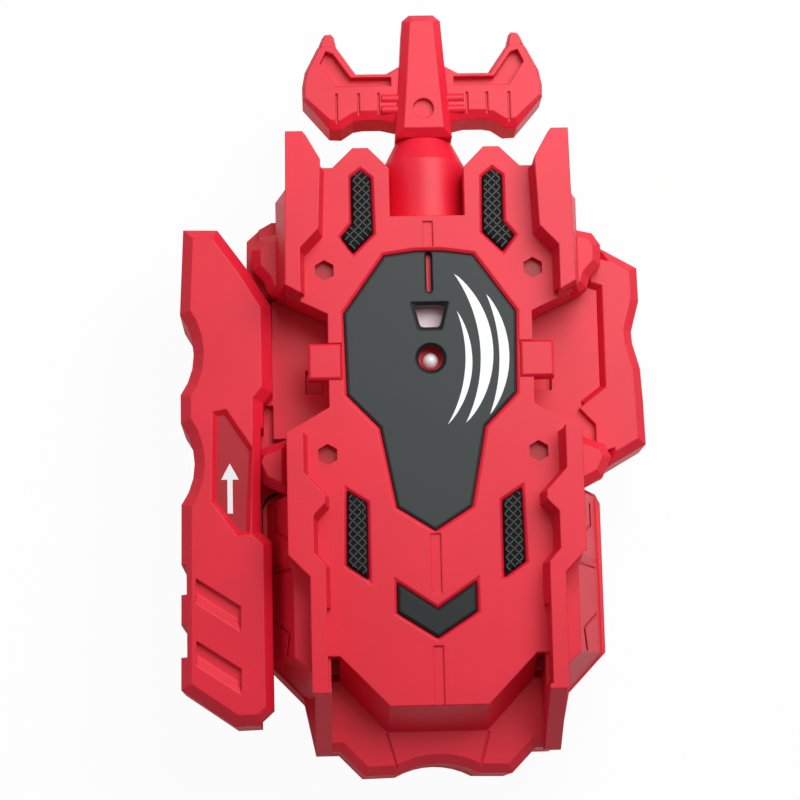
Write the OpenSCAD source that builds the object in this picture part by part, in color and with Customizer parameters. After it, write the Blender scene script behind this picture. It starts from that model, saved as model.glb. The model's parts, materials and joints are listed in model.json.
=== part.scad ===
// Spinning top launcher with a pull string, a reversing gear train and a sliding side frame.
// Origin on the launch axis at the tip of the launch spigot, +Z up, +Y towards the pull handle.

/* [Casing] */
// Half of the casing's width, taken over the front ears
half_w = 30; // [28:0.5:33]
// Length of the casing in front of the launch axis
front_l = 40; // [38:0.5:44]
// Length of the casing behind the launch axis
rear_l = 70; // [67:0.5:76]
// Thickness of the side walls
wall = 2; // [1.6:0.1:2.4]
// Thickness of the roof
roof_t = 2.4; // [2.2:0.1:3]
// Thickness of the floor over the launch bay
floor_t = 2; // [1.6:0.1:2.6]
// Height of the four fins above the roof
fin_h = 5.7; // [3:0.1:8]
// Height of the ears' top below the roof
ear_drop = 4.5; // [3.5:0.1:5.5]
// Size of the bevel along raised edges
bevel = 0.8; // [0.4:0.1:1.2]
// Size of the bevel along the outer edges of the ears, the wing and the rear deck
side_bevel = 1.5; // [1:0.1:1.6]
// Radius of the launch bay under the casing
bay_r = 26; // [25:0.25:27]
// Space between the table and the tip of the launch spigot
rest_gap = 4; // [3.6:0.1:6]

/* [Panel and pads] */
// Thickness of the centre panel
panel_t = 1.2; // [0.8:0.1:1.4]
// Width of the gap that runs round the inlaid pieces
groove = 0.15; // [0.1:0.05:0.25]
// Width of the sloped rim round the recesses of the inlaid pieces
rim_w = 0.5; // [0.3:0.05:0.7]
// Depth of the sloped rims and of the lines in the roof
rim_h = 0.35; // [0.2:0.05:0.45]
// Radius of the round window over the launch axle
window_r = 2.6; // [2.4:0.05:3]
// Width of the indicator slot
slot_w = 1.3; // [0.8:0.1:1.8]
// Height of the pads above the roof
pad_rise = 0.4; // [0:0.1:0.8]
// Distance across the flats of the four hexagonal sockets
socket_af = 3.7; // [3:0.1:4.2]
// Depth of the hexagonal sockets
socket_depth = 1.8; // [1:0.1:2]

/* [Screws] */
// Radius of the screw shanks
screw_r = 1; // [0.8:0.05:1.2]
// Radius of the screw heads
screw_head_r = 2; // [1.7:0.05:2.1]
// Height of the screw heads
screw_head_h = 1.1; // [0.8:0.1:1.3]
// Radius of the screw columns
column_r = 2.3; // [2.2:0.05:2.5]

/* [String and nozzle] */
// Diameter of the pull string
string_d = 1; // [0.8:0.05:1.1]
// Radius of the nozzle's barrel
nozzle_r = 7.1; // [6.9:0.05:7.15]
// Length of the nozzle from its seat to its front face
nozzle_l = 15.3; // [14.5:0.1:16]
// Length of the nozzle's cone
cone_l = 4.2; // [3.4:0.1:5]
// Radius of the nozzle's front face
nose_r = 4.95; // [4.4:0.05:5.2]
// Distance of the nozzle's front face from the casing's front
nozzle_reach = 0.3; // [0:0.1:1]
// Half of the channel's width over the nozzle
channel_half_w = 6.45; // [6.2:0.05:6.6]
// Distance between the string's guide post and the nozzle
guide_gap = 9; // [8.6:0.1:9.4]
// Radius of the string's way through the nozzle
nozzle_bore_r = 1.6; // [1.2:0.05:2]
// Radius of the string's way between the guide and the nozzle
string_way_r = 3.6; // [3.4:0.1:4]
// Radius of the nozzle's docking spigot
dock_r = 2.9; // [2.6:0.05:3.2]
// Length of the docking spigot
dock_l = 2.4; // [1.6:0.1:3]

/* [Pull handle] */
// Half of the handle's width
handle_half_w = 21.2; // [19:0.2:24]
// Length of the handle along the pull
handle_l = 22.2; // [20:0.2:25]
// Thickness of the handle
handle_t = 12; // [11:0.2:13]
// Bevel along the arms' edges
handle_bevel = 0.5; // [0.3:0.1:0.6]
// Bevel along the edges of the handle's post
post_bevel = 1.4; // [1:0.1:1.5]
// Height of the post above the arms, on either face
post_rise = 1.6; // [1:0.1:2]
// Width of the slope along the arms' finger side
finger_slope = 1; // [0.6:0.1:1.2]
// Distance of the knot from the handle's seat
knot_depth = 4.9; // [4.4:0.1:5.4]
// Depth of the round dimple in the post
dimple_depth = 1; // [0.6:0.1:1.4]
// Radius of the knot's pocket
knot_pocket_r = 1.8; // [1.7:0.05:2.2]
// Depth of the slots in the arms' face
handle_groove = 1.6; // [0.8:0.1:2]

/* [Side frame] */
// Travel of the side frame between the two spin directions
frame_travel = 8; // [6:0.5:8]
// Thickness of the cross plate
plate_t = 1.4; // [1.2:0.1:1.6]
// Height of the right wing above the cross plate
wing_rise = 1.3; // [0.8:0.1:1.5]
// Height of the left grip's top below the roof
grip_drop = 2.6; // [2:0.1:2.8]
// Thickness of the left grip
grip_t = 18; // [15:0.5:20]
// Width of the bevel along the grip's edges
grip_bevel = 1.8; // [1:0.1:2.2]
// Depth of the two finger scallops
scallop_depth = 2.3; // [1.4:0.1:2.8]
// Depth of the recesses in the grip's face
recess_depth = 1; // [0.5:0.1:1.5]

/* [Gear train] */
// Size of the gear teeth: pitch diameter for each tooth
tooth_size = 1; // [1:0.01:1.04]
// Play between meshed teeth, measured along the pitch circle
tooth_play = 0.3; // [0.2:0.02:0.4]
// Height of a tooth above the pitch circle, in modules
addendum_share = 0.8; // [0.7:0.02:0.85]
// Depth of a tooth below the pitch circle, in modules
dedendum_share = 1.1; // [1.05:0.05:1.25]
// Face width of the lower gears
low_face_w = 2; // [1.6:0.1:2.4]
// Thickness of the dog plate and the spool's flange on the lower gears
low_plate_t = 1; // [0.8:0.1:1.3]
// Face width of the upper gears
high_face_w = 3; // [2.4:0.1:3.6]
// Thickness of the shroud on the upper gear
shroud_t = 0.8; // [0.6:0.1:1]
// Radial clearance of a turning shaft
run_fit = 0.05; // [0.03:0.01:0.08]
// Axial play between pieces that turn past each other
axial_play = 0.2; // [0.15:0.05:0.3]

/* [Spool] */
// Radius of the spool's drum
drum_r = 9.2; // [9:0.1:9.4]
// Thickness of the drum's wall
drum_wall = 1.2; // [0.8:0.1:1.6]
// Radius of the spool's axle
axle_r = 2; // [1.8:0.05:2.3]
// Thickness of the recoil spring's strip
strip_t = 0.4; // [0.3:0.05:0.5]
// Turns of the recoil spring at rest
spring_turns = 4; // [3:1:4]

/* [Clutch] */
// Travel of the clutch disc between the two gears
clutch_travel = 2.4; // [2.2:0.1:2.6]
// Thickness of the clutch disc
disc_t = 2; // [1.8:0.1:2.2]
// Radius of the clutch disc's rim
disc_r = 8.6; // [8.4:0.05:8.7]
// Height of the clutch dogs
dog_h = 0.85; // [0.7:0.05:0.9]
// Distance across the flats of the hexagonal shaft
shaft_af = 5; // [4.8:0.1:5.2]
// Radius of the shaft's lower journal
journal_r = 3.2; // [3.1:0.05:3.4]
// Radius of the shaft's upper journal
upper_journal_r = 2.4; // [2.3:0.05:2.5]
// Radius of the shift fork's follower
follower_r = 0.8; // [0.6:0.05:0.9]

/* [Launch chuck] */
// Radius of the launch spigot
spigot_r = 5; // [4.5:0.1:5.5]
// Length of the launch spigot
spigot_l = 6; // [5:0.1:6.5]
// Radius of the chuck's flange
chuck_r = 13; // [12:0.1:14]
// Thickness of the chuck's flange
chuck_t = 2.6; // [2:0.1:3]
// Width of a launch prong, as an angle
prong_angle = 34; // [24:1:44]
// Radius of the steel axle
steel_r = 1.45; // [1.3:0.05:1.6]
// Travel of the ejector pin
eject_travel = 3; // [2:0.1:3]
// Radius of the ejector pin
eject_r = 1.2; // [1:0.05:1.4]

/* [Hidden] */
$fn = 64;
over = 0.5;                       // overrun of every cut
full_turn = 360;
half_turn = 180;
quarter_turn = 90;
red = "#dc3240";
black = "#2a2d2d";
steel = "silver";
ivory = "ivory";

// Gears: teeth and places
drive_teeth = 32;
upper_teeth = 16;
spool_teeth = 26;
idler_teeth = 10;
lower_teeth = 13;
pressure_angle = 20;
spool_y = -tooth_size * (drive_teeth + upper_teeth) / 2;
idler_to_spool = tooth_size * (spool_teeth + idler_teeth) / 2;
idler_to_axis = tooth_size * (idler_teeth + lower_teeth) / 2;
idler_y = (pow(idler_to_spool, 2) - pow(idler_to_axis, 2) - pow(spool_y, 2)) / (-2 * spool_y);
idler_x = -sqrt(pow(idler_to_axis, 2) - pow(idler_y, 2));

// Heights, from the spigot's tip upwards
touch = axial_play / 2;
table_z = -rest_gap;
chuck_hub_t = 1.1;
chuck_top = spigot_l + chuck_t + chuck_hub_t;
floor_z = chuck_top + axial_play + touch;
floor_top = floor_z + floor_t;
boss_h = 2.8;
low_z = floor_top + boss_h + axial_play;
low_plate_z = low_z + low_face_w;
low_top = low_plate_z + low_plate_t;
plate_z = low_top + axial_play + touch;
plate_top = plate_z + plate_t;
part_z = plate_z - axial_play;
disc_low_z = low_top + touch;
disc_z = disc_low_z + clutch_travel;
high_z = disc_z + disc_t + touch;
high_top = high_z + high_face_w;
shroud_top = high_top + shroud_t;
roof_gap = 1.2;
roof_z = shroud_top + roof_gap;
top_z = roof_z + roof_t;
panel_z = top_z - panel_t - touch;
wing_top = plate_top + wing_rise;
window_top = plate_top + axial_play;
wing_window_top = wing_top + axial_play + touch;
ear_top = top_z - ear_drop;
string_z = plate_top + axial_play + string_d / 2;
grip_top = top_z - grip_drop;
grip_z = grip_top - grip_t;

// Places that more than one piece follows
bay_screw_shares = [[0.597, 0.39], [0.597, -0.233]];
rear_screw_shares = [[0.56, -0.66]];
tab_x_shares = [0.507, 0.7];
tab_y_shares = [0.07, -0.05];
boss_wall = 1.2;
string_x = drum_r + string_d;
string_reach_r = drum_r + 2 * string_d;
guide_r = 2.5;
guide_x = string_x - string_d / 2 - guide_r;
nozzle_front_y = front_l + nozzle_reach;
nozzle_back_y = nozzle_front_y - nozzle_l;
guide_y = nozzle_back_y - guide_gap;
dock_gap = 0.1;
dock_fit = 0.3;
handle_y = nozzle_front_y + dock_gap;
knot_y = handle_y + knot_depth;
knot_fit = 0.3;
knot_r = knot_pocket_r - knot_fit;
fork_reach = 2.8;
fork_y = disc_r + fork_reach;
fork_half_w = 3;
fork_depth = 1.6;
jaw_half_w = 4.8;
guide_pin_r = 1;
frame_gap = 0.3;
cam_wall_y = fork_y + fork_depth + frame_gap;
cam_wall_t = 1.2;
cam_slope_share = clutch_travel / frame_travel;
follower_gap = 0.5;
follower_z = plate_z - follower_r - follower_gap;
plate_gap = 0.9;
plate_rear_y = spool_y + string_reach_r + plate_gap;

// Outlines as shares of the casing's half width and of its length before or behind the launch axis
roof_shares = [[0.217, 0.84], [0.333, 0.93], [0.423, 0.93], [0.54, 0.843], [0.61, 0.843],
    [0.69, 0.95], [0.81, 0.965], [0.82, 0.285], [0.583, 0.2], [0.583, -0.117], [0.827, -0.177],
    [0.827, -0.484], [0.707, -0.537], [0.707, -0.72], [0.55, -0.72], [0.275, -0.841]];
hood_top_shares = [[0.553, -0.6], [0.553, -0.72], [0.275, -0.841]];
hood_foot_shares = [[0.553, -0.6], [0.553, -0.787], [0.285, -0.909]];
rear_edge_shares = [[0.757, -0.81], [0.693, -0.94], [0.557, -0.94], [0.42, -1], [0.227, -0.998]];
rear_deck_shares = concat([[0.74, -0.75]], rear_edge_shares);
rear_arc_share = 0.025;
flare_top_shares = [[0.6, -0.33], [0.827, -0.33], [0.827, -0.484], [0.8, -0.52], [0.8, -0.72],
    [0.727, -0.748], [0.6, -0.8]];
flare_foot_shares = [[0.6, -0.33], [0.95, -0.33], [0.953, -0.484], [0.957, -0.52], [0.957, -0.714],
    [0.74, -0.813], [0.6, -0.82]];
flare_line_shares = [[[0.9, -0.35], [0.9, -0.405], [0.81, -0.443]], [[0.81, -0.507], [0.97, -0.507]],
    [[0.97, -0.6], [0.827, -0.661], [0.843, -0.715]]];
deck_line_shares = [[0.29, -0.9], [0.227, -0.998]];
skirt_top_shares = [[0.75, 0.71], [0.812, 0.71], [0.815, 0.65], [0.82, 0.3], [0.75, 0.3]];
skirt_foot_shares = [[0.75, 0.78], [0.817, 0.778], [0.873, 0.72], [0.873, 0.3], [0.75, 0.3]];
front_ear_shares = [[0.8, 0.6], [0.967, 0.572], [1.013, 0.52], [1.01, 0.43], [0.945, 0.375],
    [0.925, 0.325], [0.8, 0.28]];
rear_ear_shares = [[0.81, -0.178], [0.993, -0.207], [1.03, -0.239], [0.977, -0.289], [0.81, -0.324]];
front_fin_shares = [[0.61, 0.843], [0.69, 0.95], [0.71, 0.968], [0.807, 0.968], [0.82, 0.3],
    [0.733, 0.262], [0.733, 0.457], [0.627, 0.542]];
rear_fin_shares = [[0.733, -0.182], [0.827, -0.19], [0.827, -0.484], [0.707, -0.537], [0.707, -0.81],
    [0.617, -0.81], [0.62, -0.512], [0.683, -0.48], [0.683, -0.391], [0.617, -0.361],
    [0.617, -0.341], [0.733, -0.287]];
base_shares = concat([[0.25, 0.825], [0.55, 0.825], [0.617, 0.84], [0.69, 0.94], [0.79, 0.95],
    [0.803, 0.778], [0.873, 0.72], [0.873, 0.545], [0.733, 0.54], [0.733, -0.272], [0.95, -0.32],
    [0.977, -0.343], [0.977, -0.712]], rear_edge_shares);
base_cavity_shares = concat([[0.25, 0.825], [0.78, 0.825], [0.807, 0.6], [0.733, 0.54],
    [0.733, -0.272], [0.977, -0.325], [0.977, -0.712]], rear_edge_shares);
panel_shares = [[0.08, 0.472], [0.258, 0.453], [0.495, 0.2], [0.483, -0.089], [0.3, -0.171],
    [0.213, -0.366], [0, -0.424]];
front_pad_shares = [[0.38, 0.833], [0.437, 0.8], [0.437, 0.595], [0.5, 0.535], [0.43, 0.463],
    [0.313, 0.55], [0.32, 0.795]];
rear_pad_shares = [[0.493, -0.321], [0.503, -0.502], [0.38, -0.539], [0.38, -0.353]];
chevron_shares = [[0, -0.61], [0.225, -0.545], [0.225, -0.62], [0, -0.682]];
key_top_y_share = 0.245;
key_foot_y_share = 0.123;
key_top_x_share = 0.11;
key_foot_x_share = 0.068;
slot_y_shares = [0.45, 0.3];
strip_w_share = 0.057;
front_strip_y_shares = [0.6, 0.49];
rear_strip_y_shares = [-0.43, -0.575];
tail_strip_y_shares = [-0.7, -0.841];
line_w = 0.35;

// Outlines of the side frame, not mirrored
plate_front_shares = [[-0.907, 0.315], [-0.26, 0.315], [-0.19, 0.412], [0.507, 0.412],
    [0.513, 0.315], [1.1, 0.315]];
wing_shares = [[1.02, 0.533], [1.24, 0.438], [1.243, 0.288], [1.21, 0.2], [1.193, 0.152],
    [1.197, 0.1], [1.237, -0.007], [1.247, -0.09], [1.253, -0.199], [1.02, -0.256]];
wing_step_shares = [[0.96, 0.49], [1.12, 0.45], [1.12, -0.2], [0.96, -0.225], [0.96, -0.15],
    [0.87, -0.108], [1.027, -0.057], [1.027, 0.355], [0.96, 0.373]];
grip_shares = [[-1.407, 0.603], [-1.21, 0.6], [-1.037, 0.42], [-0.907, 0.26], [-0.907, -0.067],
    [-0.96, -0.094], [-0.973, -0.409], [-0.91, -0.434], [-0.91, -0.846], [-0.99, -0.877],
    [-1.137, -0.879], [-1.44, -0.789]];
scallop_y_shares = [[-0.341, -0.14], [-0.07, 0.228]];
notch_y_shares = [[-0.56, -0.487], [-0.711, -0.633]];
notch_depth_share = 0.027;
grip_edge_share = -1.43;
label_recess_shares = [[-1.247, -0.117], [-1.17, -0.11], [-1.017, -0.21], [-1.043, -0.419],
    [-1.113, -0.423], [-1.257, -0.339]];
slash_recess_shares = [[-1.35, -0.523], [-1.1, -0.593], [-1.103, -0.653], [-1.35, -0.583]];
slash_pitch_share = 0.15;
grip_step_shares = [[-1.055, -0.155], [-0.88, -0.155], [-0.88, -0.9], [-0.997, -0.9],
    [-0.997, -0.335], [-1.055, -0.335]];

// Outlines of the pull handle's right half, as shares of its half width and of its length
post_shares = [[0.1, 1.005], [0.16, 0.955], [0.186, 0.6], [0.234, 0]];
arm_shares = [[0.17, 0.61], [0.3, 0.54], [0.552, 0.54], [0.78, 0.862], [0.873, 0.75],
    [0.976, 0.556], [1, 0.435], [0.998, 0.336], [0.778, 0.088], [0.679, 0.083], [0.58, 0.147],
    [0.505, 0.16], [0.349, 0.16], [0.215, 0.13]];
handle_slot_shares = [[0.26, 0.5], [0.595, 0.5], [0.74, 0.7], [0.8, 0.72], [0.85, 0.62],
    [0.72, 0.43], [0.26, 0.43]];
rib_x_shares = [0.368, 0.533, 0.717];
rib_y_shares = [0.1, 0.37];
bump_x_shares = [0.2, 0.34];
bump_y_shares = [0.325, 0.235];

function at(s) = [s[0] * half_w, s[1] * (s[1] > 0 ? front_l : rear_l)];
function placed(shares) = [for (s = shares) at(s)];
function rear_arc(steps = 4) =
    let (half = half_w * rear_edge_shares[4][0], depth = rear_l * rear_arc_share,
        r = (half * half + depth * depth) / (2 * depth), a = asin(half / r))
    [for (i = [1 : steps]) let (t = a * (1 - i / steps))
        [r * sin(t), rear_l * rear_edge_shares[4][1] + r * (cos(t) - cos(a))]];
function with_arc(shares) = let (p = concat(placed(shares), rear_arc())) concat(p, mirrored(p));
function handle_at(s) = [s[0] * handle_half_w, handle_y + s[1] * handle_l];
function mirrored(pts) = [for (i = [len(pts) - 1 : -1 : 0]) if (pts[i][0] > 0) [-pts[i][0], pts[i][1]]];
function flipped(pts) = [for (i = [len(pts) - 1 : -1 : 0]) [-pts[i][0], pts[i][1]]];
function whole(shares) = let (p = placed(shares)) concat(p, mirrored(p));

// Normal on the right-hand side of the edge from a to b, which is inwards on a clockwise outline
function edge_normal(a, b) = let (d = (b - a) / norm(b - a)) [d[1], -d[0]];
function inset(pts, d) = let (n = len(pts)) [for (i = [0 : n - 1])
    let (m = edge_normal(pts[(i + n - 1) % n], pts[i]), k = edge_normal(pts[i], pts[(i + 1) % n]))
    pts[i] + d * (m + k) / (1 + m * k)];

// Points of an arc that dips into an edge at the given x, between two places
function scallop(y0, y1, x, depth, steps = 6) =
    let (half = (y1 - y0) / 2, r = (half * half + depth * depth) / (2 * depth), a = asin(half / r))
    [for (i = [0 : steps]) let (t = -a + 2 * a * i / steps)
        [x + depth - r + r * cos(t), (y0 + y1) / 2 + r * sin(t)]];

// Extrusion of an outline between two heights
module prism(pts, z0, z1) {
    translate([0, 0, z0]) linear_extrude(z1 - z0) polygon(pts);
}

// Triangles that fill a clockwise outline, found by cutting off one ear after another
function side_of(a, b, p) = (b[0] - a[0]) * (p[1] - a[1]) - (b[1] - a[1]) * (p[0] - a[0]);
function holds(a, b, c, p) = side_of(a, b, p) <= 0 && side_of(b, c, p) <= 0 && side_of(c, a, p) <= 0;
function corner(ids, i) = let (n = len(ids)) [ids[(i + n - 1) % n], ids[i], ids[(i + 1) % n]];
function is_ear(pts, ids, i) = let (t = corner(ids, i), a = pts[t[0]], b = pts[t[1]], c = pts[t[2]])
    side_of(a, b, c) < -touch && len([for (k = ids) if (k != t[0] && k != t[1] && k != t[2]
        && holds(a, b, c, pts[k])) k]) == 0;
function triangles(pts, ids, done = []) = len(ids) < 4 ? concat(done, [ids]) :
    let (ear = [for (i = [0 : len(ids) - 1]) if (is_ear(pts, ids, i)) i][0])
    is_undef(ear) ? done :
    triangles(pts, [for (i = [0 : len(ids) - 1]) if (i != ear) ids[i]], concat(done, [corner(ids, ear)]));

// Solid through clockwise rings that have the same number of points
module loft(rings, heights) {
    n = len(rings[0]);
    k = len(rings);
    ids = [for (i = [0 : n - 1]) i];
    polyhedron(
        points = [for (j = [0 : k - 1]) for (p = rings[j]) [p[0], p[1], heights[j]]],
        faces = concat(
            [for (t = triangles(rings[0], ids)) [t[2], t[1], t[0]]],
            [for (j = [0 : k - 2]) for (i = [0 : n - 1])
                [j * n + i, j * n + (i + 1) % n, (j + 1) * n + (i + 1) % n, (j + 1) * n + i]],
            [for (t = triangles(rings[k - 1], ids)) [for (i = t) (k - 1) * n + i]]));
}

// Recess with a sloped rim at the roof's surface
module rimmed(pts) {
    wide = inset(pts, -rim_w);
    loft([pts, pts, wide, wide], [panel_z, top_z - rim_h, top_z, top_z + over]);
}

// Lines of a groove through the given places
module line(pts, z0, z1) {
    for (i = [0 : len(pts) - 2])
        let (n = edge_normal(pts[i], pts[i + 1]) * line_w / 2)
        prism([pts[i] + n, pts[i] - n, pts[i + 1] - n, pts[i + 1] + n], z0, z1);
}

// Plate with a bevelled upper edge
module bevelled(pts, z0, z1, b) {
    loft([pts, pts, inset(pts, b)], [z0, z1 - b, z1]);
}

// Closed tube through rings of m points each
module tube(points, m) {
    n = len(points) / m - 1;
    polyhedron(points = points, faces = concat(
        [[for (k = [m - 1 : -1 : 0]) k]],
        [for (i = [0 : n - 1]) for (k = [0 : m - 1])
            [i * m + k, i * m + (k + 1) % m, (i + 1) * m + (k + 1) % m]],
        [for (i = [0 : n - 1]) for (k = [0 : m - 1])
            [i * m + k, (i + 1) * m + (k + 1) % m, (i + 1) * m + k]],
        [[for (k = [0 : m - 1]) n * m + k]]));
}

module both_sides() {
    children();
    mirror([1, 0, 0]) children();
}

module at_screws(shares = concat(bay_screw_shares, rear_screw_shares)) {
    both_sides() for (s = shares) translate(at(s)) children();
}

// Involute gear profiles
function involute(a) = tan(a) * half_turn / PI - a;
function tooth_half(teeth, r) =
    let (pitch_r = tooth_size * teeth / 2, base_r = pitch_r * cos(pressure_angle))
    (quarter_turn - tooth_play / tooth_size * quarter_turn / PI) / teeth + involute(pressure_angle)
        - (r > base_r ? involute(acos(base_r / r)) : 0);
function gear_radii(teeth) =
    let (pitch_r = tooth_size * teeth / 2)
    [pitch_r - tooth_size * dedendum_share,
        max(pitch_r * cos(pressure_angle), pitch_r - tooth_size * dedendum_share * 2 / 3),
        pitch_r, pitch_r + tooth_size * addendum_share / 2, pitch_r + tooth_size * addendum_share];
function gear_points(teeth, phase) = [for (i = [0 : teeth - 1]) for (side = [-1, 1])
    for (j = side < 0 ? [0 : 4] : [4 : -1 : 0])
        let (r = gear_radii(teeth)[j],
            a = phase + full_turn * i / teeth + side * tooth_half(teeth, r))
        r * [cos(a), sin(a)]];
// Phase of a gear that meshes with another one in the given direction
function mesh_phase(teeth, phase, other_teeth, dir) =
    dir + half_turn - full_turn / other_teeth * (0.5 - teeth * (dir - phase) / full_turn);

drive_phase = quarter_turn;
upper_phase = mesh_phase(drive_teeth, drive_phase, upper_teeth, quarter_turn);
spool_phase = 0;
to_idler = atan2(idler_y - spool_y, idler_x);
idler_phase = mesh_phase(spool_teeth, spool_phase, idler_teeth, to_idler);
to_lower = atan2(-idler_y, -idler_x);
lower_phase = mesh_phase(idler_teeth, idler_phase, lower_teeth, to_lower);

module gear(teeth, phase, z0, z1) {
    translate([0, 0, z0]) linear_extrude(z1 - z0) polygon(gear_points(teeth, phase));
}

// Ring sector with straight sides
module sector(r0, r1, a, z0, z1) {
    translate([0, 0, z0]) linear_extrude(z1 - z0) intersection() {
        difference() {
            circle(r1);
            circle(r0);
        }
        polygon([[0, 0], [r1 * 2 * cos(a / 2), -r1 * 2 * sin(a / 2)],
            [r1 * 2 * cos(a / 2), r1 * 2 * sin(a / 2)]]);
    }
}

dogs = 3;
dog_angle = 30;
dog_play_angle = 4;
dog_gap = 0.7;
dog_inset = 1.9;
dog_in_r = journal_r + dog_gap;
dog_out_r = tooth_size * upper_teeth / 2 - dog_inset;
module dog_set(grow, extra_angle, z0, z1) {
    for (i = [0 : dogs - 1]) rotate([0, 0, i * full_turn / dogs])
        sector(dog_in_r - grow, dog_out_r + grow, dog_angle + extra_angle, z0, z1);
}

// Casing

// Space that the mechanism fills inside the upper shell
nozzle_seat = 2;
cavity_front_y = nozzle_back_y - nozzle_seat;
cavity_rear_share = -0.68;
module upper_cavity() {
    intersection() {
        prism(inset(whole(roof_shares), wall), part_z - over, roof_z);
        translate([-half_w, rear_l * cavity_rear_share, 0])
            cube([half_w * 2, cavity_front_y - rear_l * cavity_rear_share, top_z]);
    }
}

// Windows that the cross plate and the wing slide through
window_y_share = 0.43;
window_rear_y = plate_rear_y - frame_gap;
wing_window_y_shares = [0.538, -0.26];
window_x_share = 0.4;
wing_window_x_share = 0.59;
module side_windows() {
    both_sides() {
        translate([half_w * window_x_share, window_rear_y, part_z - over])
            cube([half_w, front_l * window_y_share - window_rear_y, window_top - part_z + over]);
        translate([half_w * wing_window_x_share, rear_l * wing_window_y_shares[1], part_z - over])
            cube([half_w, front_l * wing_window_y_shares[0] - rear_l * wing_window_y_shares[1],
                wing_window_top - part_z + over]);
    }
}

module nozzle_channel(r, half) {
    translate([0, nozzle_back_y, string_z]) rotate([-quarter_turn, 0, 0]) cylinder(r = r, h = front_l);
    translate([-half, nozzle_back_y, string_z]) cube([half * 2, front_l, top_z]);
}

module keystone(grow, z0, z1) {
    top_x = half_w * key_top_x_share + grow;
    foot_x = half_w * key_foot_x_share + grow;
    top_y = front_l * key_top_y_share + grow;
    foot_y = front_l * key_foot_y_share - grow;
    prism([[-top_x, top_y], [top_x, top_y], [foot_x, foot_y], [-foot_x, foot_y]], z0, z1);
}

module strips() {
    w = half_w * strip_w_share;
    for (s = [front_strip_y_shares, rear_strip_y_shares, tail_strip_y_shares])
        translate([-w / 2, at([0, s[1]])[1], top_z - rim_h])
            cube([w, at([0, s[0]])[1] - at([0, s[1]])[1], over + rim_h]);
}

// Lines between the panels of the flared sides
module flare() {
    loft([placed(flare_foot_shares), placed(flare_top_shares)], [part_z, top_z - bevel]);
}
module flare_lines() {
    difference() {
        for (l = flare_line_shares) line(placed(l), part_z + wall, top_z);
        translate([0, 0, -rim_h * 2]) flare();
    }
}

fin_tail_x_shares = [0.6, 0.693];
fin_tail_y_shares = [0.8, 0.947];
fin_tail_z = part_z + fin_h / 2;
module fin_tail() {
    x0 = half_w * fin_tail_x_shares[0];
    x1 = half_w * fin_tail_x_shares[1];
    y0 = rear_l * fin_tail_y_shares[0];
    y1 = rear_l * fin_tail_y_shares[1];
    translate([x1, 0, 0]) rotate([quarter_turn, 0, -quarter_turn]) linear_extrude(x1 - x0)
        polygon([[y0, part_z], [y0, top_z + fin_h], [y0 + bevel, top_z + fin_h], [y1, fin_tail_z],
            [y1, part_z]]);
}

module upper_shell() color(red) {
    difference() {
        union() {
            prism(whole(roof_shares), part_z, top_z);
            loft([whole(hood_foot_shares), whole(hood_top_shares)], [part_z, top_z - bevel * 2]);
            bevelled(with_arc(rear_deck_shares), part_z, part_z + wall, side_bevel);
            both_sides() {
                flare();
                loft([placed(skirt_foot_shares), placed(skirt_foot_shares), placed(skirt_top_shares)],
                    [part_z, ear_top, top_z + fin_h]);
                bevelled(placed(front_ear_shares), wing_window_top, ear_top, side_bevel);
                bevelled(placed(rear_ear_shares), wing_window_top, ear_top, side_bevel);
                prism(placed(front_fin_shares), top_z - over, top_z + fin_h);
                prism(placed(rear_fin_shares), top_z - over, top_z + fin_h);
                fin_tail();
            }
        }
        upper_cavity();
        side_windows();
        nozzle_channel(nozzle_r, channel_half_w);
        rimmed(whole(panel_shares));
        both_sides() {
            rimmed(placed(front_pad_shares));
            rimmed(placed(rear_pad_shares));
            flare_lines();
            line(placed(deck_line_shares), part_z + wall - rim_h, part_z + wall + over);
        }
        rimmed(whole(chevron_shares));
        strips();
        keystone(groove, roof_z - over, top_z);
        cylinder(r = upper_journal_r + run_fit, h = top_z + over);
        // way for the string from the guide to the nozzle
        translate([0, cavity_front_y - over, string_z]) rotate([-quarter_turn, 0, 0])
            cylinder(r = string_way_r, h = nozzle_seat + over);
        at_screws() {
            translate([0, 0, top_z - socket_depth])
                cylinder(r = socket_af / sqrt(3), h = socket_depth + over, $fn = 6);
            translate([0, 0, part_z - over]) cylinder(r = screw_r, h = roof_z - part_z);
        }
        both_sides() guide_tab_block(tab_fit);
    }
    difference() {
        at_screws() translate([0, 0, part_z]) cylinder(r = column_r, h = roof_z - part_z + over);
        at_screws() translate([0, 0, part_z - over]) cylinder(r = screw_r, h = roof_z - part_z);
    }
    // guide post of the string
    translate([guide_x, guide_y, window_top]) cylinder(r = guide_r, h = roof_z - window_top + over);
    // bosses of the spool's axle, the launch shaft and the fork's guide pin
    difference() {
        union() {
            translate([0, spool_y, high_top + touch]) cylinder(r = axle_r + wall, h = roof_z - high_top);
            translate([0, 0, shroud_top + axial_play])
                cylinder(r = upper_journal_r + boss_wall, h = roof_z - shroud_top);
        }
        translate([0, spool_y, high_top - over]) cylinder(r = axle_r, h = roof_z - high_top + over);
        cylinder(r = upper_journal_r + run_fit, h = top_z + over);
        keystone(groove, shroud_top, top_z);
    }
}

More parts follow.
